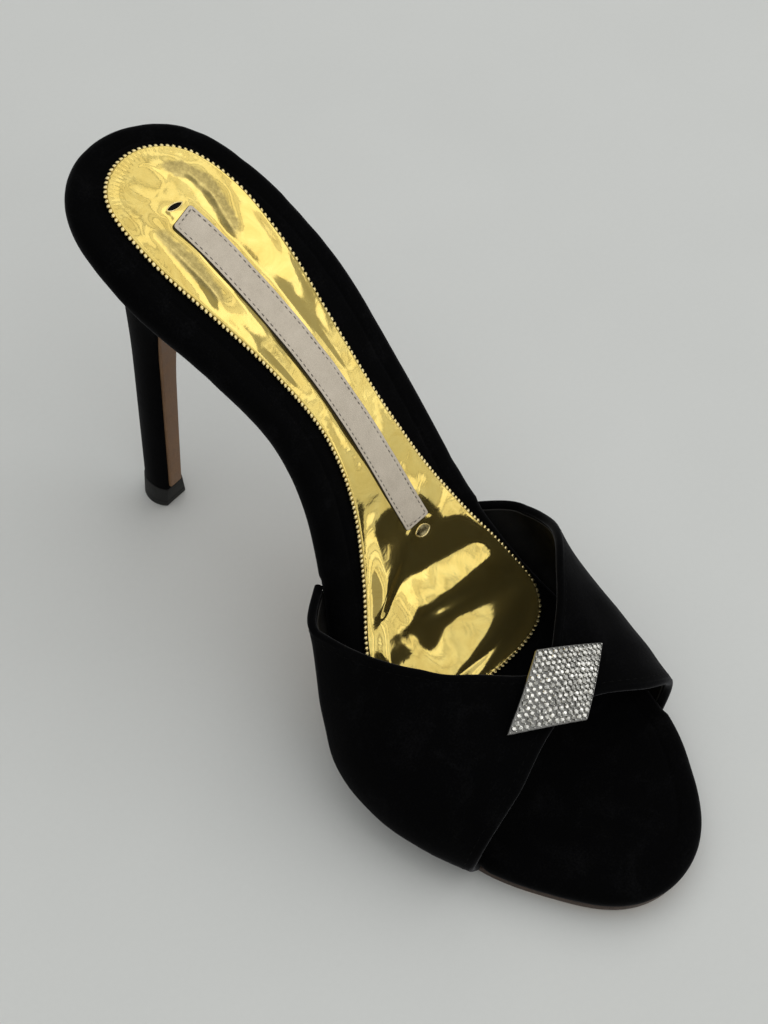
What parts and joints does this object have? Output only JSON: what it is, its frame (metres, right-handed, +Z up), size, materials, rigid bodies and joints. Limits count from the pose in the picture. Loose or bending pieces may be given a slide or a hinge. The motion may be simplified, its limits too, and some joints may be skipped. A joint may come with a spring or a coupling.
{
  "type": "high heel mule",
  "caption": "Open-toe velvet mule for the left foot, with a wide vamp band, jewelled diamond ornament, metallic insole sock and slim high heel.",
  "frame": {"origin": "bottom centre of the bounding box, on the ground under the shoe", "axes": "+Z up, +Y toward the heel and -Y toward the toe, -X toward the inner side of the left foot"},
  "size_m": [0.0846, 0.1916, 0.1153],
  "materials": {
    "velvet": "black velvet pile",
    "mirror_leather": "gold mirror leather, creased",
    "patch_leather": "beige grey leather, stitched edge",
    "lining_leather": "black smooth lining leather",
    "outsole_leather": "tan sole leather, smooth",
    "breast_leather": "tan leather strip",
    "lift_rubber": "dark rubber",
    "ornament_metal": "silver plated",
    "crystal": "foil-backed round crystals"
  },
  "bodies": {
    "root": {"outsole": "outsole_leather", "footbed": "velvet", "sock": "mirror_leather", "label_patch": "patch_leather", "vamp": "velvet", "ornament": "ornament_metal", "heel": "velvet", "heel_breast": "breast_leather", "top_lift": "lift_rubber"}
  },
  "joints": []
}
